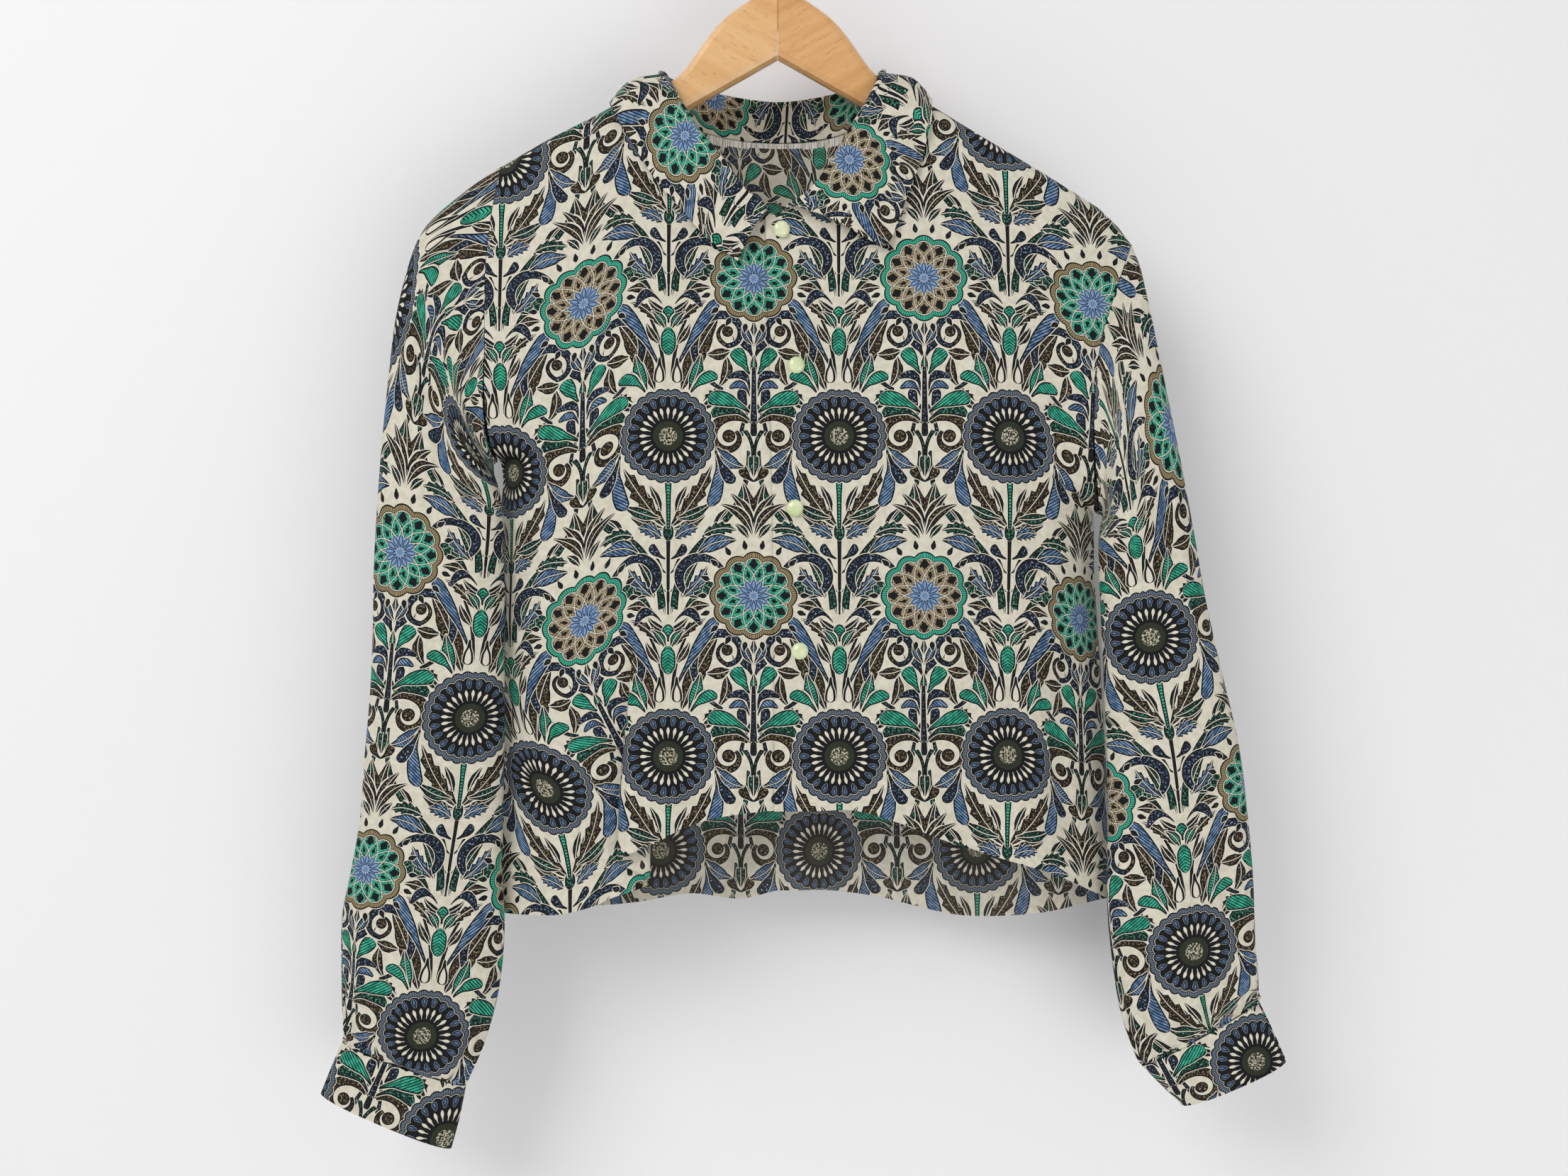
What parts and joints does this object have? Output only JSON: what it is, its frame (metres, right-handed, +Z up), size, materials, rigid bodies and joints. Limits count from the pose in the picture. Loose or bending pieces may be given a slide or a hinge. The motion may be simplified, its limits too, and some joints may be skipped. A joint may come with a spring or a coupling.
{
  "type": "cropped button-up shirt on a hanger",
  "caption": "Cropped long-sleeved button-up shirt of light printed crepe with a pointed collar, hanging on a flat wooden hanger.",
  "frame": {"origin": "top of the inside of the hook's bow, where it rests on its rail", "axes": "+Z up, -Y towards the front of the shirt, +X to the right of someone who looks at the front"},
  "size_m": [0.6372, 0.0924, 0.844],
  "materials": {
    "back_crepe": "matte printed crepe, wrong side and right side",
    "front_right_crepe": "matte printed crepe",
    "front_left_crepe": "matte printed crepe",
    "sleeve_right_crepe": "matte printed crepe",
    "sleeve_left_crepe": "matte printed crepe",
    "cuff_right_crepe": "matte printed crepe, interlined",
    "cuff_left_crepe": "matte printed crepe, interlined",
    "collar_crepe": "matte printed crepe, interlined",
    "pearl": "glossy pearl, ivory",
    "hanger_arm_right_beech": "clear lacquer",
    "hanger_arm_left_beech": "clear lacquer",
    "hook_steel": "plain bright wire"
  },
  "bodies": {
    "root": {"back": "back_crepe", "front_right": "front_right_crepe", "front_left": "front_left_crepe", "sleeve_right": "sleeve_right_crepe", "sleeve_left": "sleeve_left_crepe", "cuff_right": "cuff_right_crepe", "cuff_left": "cuff_left_crepe", "collar": "collar_crepe", "button_1": "pearl", "button_2": "pearl", "button_3": "pearl", "button_4": "pearl", "cuff_button_right": "pearl", "cuff_button_left": "pearl", "hanger_arm_right": "hanger_arm_right_beech", "hanger_arm_left": "hanger_arm_left_beech", "hanger_hook": "hook_steel"}
  },
  "joints": []
}
